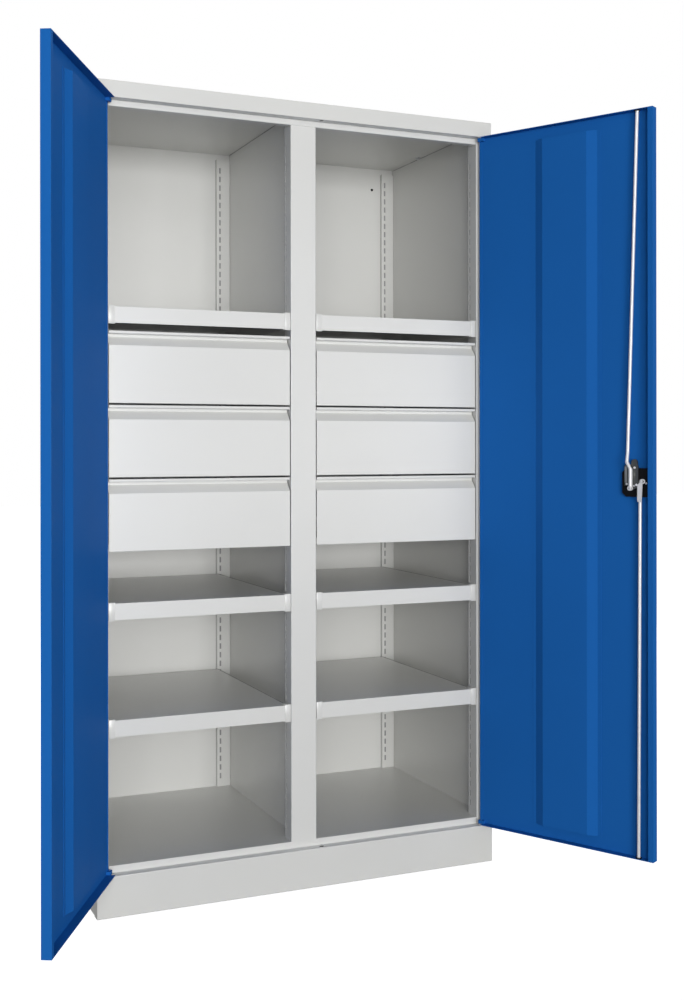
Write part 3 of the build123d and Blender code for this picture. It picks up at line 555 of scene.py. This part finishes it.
def back_rivets():
    """Blind rivets that fix the back panel to the walls, seen from behind."""
    made = bmesh.new()
    for height in RIVET_HEIGHTS:
        place = (WALL_INSIDE - RIVET_INSET, PANEL_BACK, height)
        lathe(made, rivet_head(radius=3.2, height=1.2), place, TO_BACK, SMALL_STEPS)
    mirror_shapes(made)
    piece("back_rivets", made, "cabinet", zinc)


def drawer_screws(word, side, name, base):
    """Screws that hold a drawer's slides, seen inside the open drawer."""
    made = bmesh.new()
    for edge in (-1, 1):
        for depth in DRAWER_SCREW_DEPTHS:
            place = (side * BAY_CENTRE + edge * DRAWER_REACH, depth, base + DRAWER_SCREW_RISE)
            lathe(made, screw_head(radius=4.0, height=2.0), place, (-edge, 0, 0), SMALL_STEPS)
    piece(f"drawer_screws_{word}_{name}", made, f"drawer_{word}_{name}", zinc)


# Pieces of the doors and the lock, drawn on the closed door

def stiffener_welds(side, word):
    """Spot welds along both feet of a door's stiffener."""
    made = bmesh.new()
    for x_place in WELD_PLACES:
        for height in WELD_HEIGHTS:
            lathe(made, WELD, on_door((side * x_place, height), STIFFENER_FOOT), TO_BACK, WELD_STEPS)
    open_door(made, side)
    piece(f"stiffener_welds_{word}", made, f"{word}_door", blue_paint)


def rod_grommets():
    """Plastic guides for the rods in the right door's flanges."""
    made = bmesh.new()
    lathe(made, GROMMET, on_door(UPPER_GUIDE, ROD_DEPTH), DOWN)
    lathe(made, GROMMET, on_door(LOWER_GUIDE, ROD_DEPTH), UP)
    open_door(made, 1)
    piece("rod_grommets", made, "right_door", black_plastic)


def case_details():
    """Cover, flank plate and screws on the back of the lock case."""
    made = bmesh.new()
    lathe(made, CYLINDER_COVER, on_door(CYLINDER, CASE_BACK), TO_BACK, COVER_STEPS)
    open_door(made, 1)
    piece("cylinder_cover", made, "right_door", dark_steel)
    made = bmesh.new()
    back = DOOR_FRONT + CASE_BACK
    slab(made, FLANK_X, (back, back + FLANK_THICK), FLANK_HEIGHTS, FLANK_EDGE)
    open_door(made, 1)
    piece("case_flank", made, "right_door", flank_steel)
    made = bmesh.new()
    for place in CASE_SCREWS:
        lathe(made, screw_head(radius=2.8, height=1.8), on_door(place, CASE_BACK), TO_BACK)
    lathe(made, screw_head(radius=2.6, height=2.4), on_door(DISH_SCREW, DISH_BACK), TO_BACK)
    open_door(made, 1)
    piece("lock_screws", made, "right_door", bright_zinc)


def cam_details():
    """Domed ends of the cam's pins, the screw that holds the cam, and its rivet."""
    made = bmesh.new()
    for pin in CAM_PINS:
        lathe(made, PIN_CAP, on_door(pin, PIN_END), TO_BACK)
    lathe(made, screw_head(radius=3.1, height=2.0), on_door(SPINDLE, CAM_BACK), TO_BACK)
    lathe(made, rivet_head(radius=2.0, height=0.8), on_door(CAM_RIVET, CAM_BACK), TO_BACK)
    open_door(made, 1)
    piece("cam_caps", made, "handle", bright_zinc)


def outer_lock_details():
    """Bezel round the key cylinder and a raised ring on the knob, seen from outside."""
    made = bmesh.new()
    lathe(made, BEZEL, on_door(CYLINDER, CYLINDER_FACE), TO_FRONT, BEZEL_STEPS)
    open_door(made, 1)
    piece("key_bezel", made, "right_door", chrome)
    made = bmesh.new()
    lathe(made, KNOB_RING, on_door(SPINDLE, KNOB_FACE), TO_FRONT, BEZEL_STEPS)
    open_door(made, 1)
    piece("knob_ring", made, "handle", chrome)


def make_pieces():
    """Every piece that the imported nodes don't have."""
    slot_shade_sheets()
    joint_shade_lines()
    clip_covers()
    rod_socket_shade()
    hole_plug_shade()
    ceiling_bolts()
    back_rivets()
    for side, word in ((-1, "left"), (1, "right")):
        stiffener_welds(side, word)
        for name, base in DRAWER_BASES.items():
            drawer_screws(word, side, name, base)
    rod_grommets()
    case_details()
    cam_details()
    outer_lock_details()


# Camera, floor and light

def make_camera():
    """The camera that took the picture, as fitted to the cabinet's edges."""
    data = bpy.data.cameras.new("camera")
    data.lens = FOCAL_PIXELS * SENSOR / PICTURE_HEIGHT
    data.sensor_width = SENSOR
    data.shift_y = (HORIZON_ROW - PICTURE_HEIGHT / 2) / PICTURE_HEIGHT
    camera = add_object("camera", data)
    camera.location = CAMERA_PLACE
    camera.rotation_euler = (pi / 2, radians(CAMERA_ROLL), -radians(CAMERA_YAW))
    bpy.context.scene.camera = camera


def diffuse(tree, tone):
    """A matt grey surface."""
    shader = tree.nodes.new("ShaderNodeBsdfDiffuse")
    shader.inputs["Color"].default_value = (tone, tone, tone, 1)
    return shader.outputs["BSDF"]


def floor_material():
    """Matt to the light, white to the camera but for the shadow, which fades out far away."""
    material = bpy.data.materials.new("floor")
    tree = empty_tree(material)
    output = tree.nodes.new("ShaderNodeOutputMaterial")
    place = tree.nodes.new("ShaderNodeTexCoord")
    reach = tree.nodes.new("ShaderNodeVectorMath")
    reach.operation = "LENGTH"
    tree.links.new(place.outputs["Object"], reach.inputs[0])
    glow = tree.nodes.new("ShaderNodeEmission")
    strength = spread(tree, reach.outputs["Value"], *FLOOR_GLOW, *GLOW_REACH)
    tree.links.new(strength, glow.inputs["Strength"])
    seen = tree.nodes.new("ShaderNodeAddShader")
    tree.links.new(diffuse(tree, FLOOR_SEEN), seen.inputs[0])
    tree.links.new(glow.outputs["Emission"], seen.inputs[1])
    path = tree.nodes.new("ShaderNodeLightPath")
    bounced = diffuse(tree, FLOOR_BOUNCE)
    mix_shaders(tree, output, path.outputs["Is Camera Ray"], bounced, seen.outputs["Shader"])
    return material


def make_floor():
    """Wide pale floor, a hair under the cabinet."""
    mesh = bpy.data.meshes.new("floor")
    made = bmesh.new()
    bmesh.ops.create_grid(made, x_segments=FLOOR_CELLS, y_segments=FLOOR_CELLS, size=FLOOR_HALF)
    made.to_mesh(mesh)
    made.free()
    mesh.materials.append(floor_material())
    floor = add_object("floor", mesh)
    floor.location = (0, 0, -FLOOR_DROP)


def background(tree, strength):
    """A white sky of a given strength."""
    shader = tree.nodes.new("ShaderNodeBackground")
    shader.inputs["Color"].default_value = (1, 1, 1, 1)
    shader.inputs["Strength"].default_value = strength
    return shader.outputs["Background"]


def make_world():
    """Weak ambient light that shows as white to the camera and in reflections."""
    world = bpy.data.worlds.new("world")
    bpy.context.scene.world = world
    tree = empty_tree(world)
    output = tree.nodes.new("ShaderNodeOutputWorld")
    path = tree.nodes.new("ShaderNodeLightPath")
    shown = tree.nodes.new("ShaderNodeMath")
    shown.operation = "MAXIMUM"
    tree.links.new(path.outputs["Is Camera Ray"], shown.inputs[0])
    tree.links.new(path.outputs["Is Glossy Ray"], shown.inputs[1])
    mix_shaders(tree, output, shown.outputs["Value"], background(tree, AMBIENT), background(tree, WHITE))


def area_lamp(name, place, target, size, power, mirrored=True):
    """A rectangular soft lamp; one that isn't mirrored leaves no glare on glossy sides."""
    data = bpy.data.lights.new(name, "AREA")
    data.shape = "RECTANGLE"
    data.size, data.size_y = size
    data.energy = power
    lamp = add_object(name, data)
    lamp.location = place
    lamp.visible_glossy = mirrored
    aim = Vector(target) - Vector(place)
    lamp.rotation_euler = aim.to_track_quat("-Z", "Y").to_euler()


def make_lights():
    """Lamps in metres and watts."""
    area_lamp("key", place=(-0.3, -12.0, 0.9), target=(0.0, 0.3, 0.9), size=(3.4, 3.4), power=745.0)
    area_lamp("fill", place=(4.5, -8.0, 1.1), target=(-0.6, 0.0, 1.0), size=(2.4, 2.4), power=75.0)
    area_lamp("side", place=(-2.2, -6.0, 1.15), target=(0.0, 0.3, 1.0), size=(2.0, 2.0), power=105.0)
    area_lamp("high", place=(-1.6, -5.0, 2.6), target=(0.0, 0.3, 0.9), size=(2.0, 2.0), power=34.0)
    area_lamp("back", place=(-1.5, 3.6, 3.2), target=(0.0, 0.3, 1.2), size=(3.0, 2.0), power=60.0,
              mirrored=False)
    area_lamp("right", place=(4.2, 2.6, 1.8), target=(0.4, 0.3, 1.0), size=(2.0, 2.0), power=70.0,
              mirrored=False)
    area_lamp("left", place=(-4.2, 2.2, 1.8), target=(-0.4, 0.3, 1.0), size=(2.0, 2.0), power=45.0,
              mirrored=False)


dress_frame()
make_pieces()
make_camera()
make_floor()
make_world()
make_lights()

scene = bpy.context.scene
scene.view_settings.view_transform = "Standard"
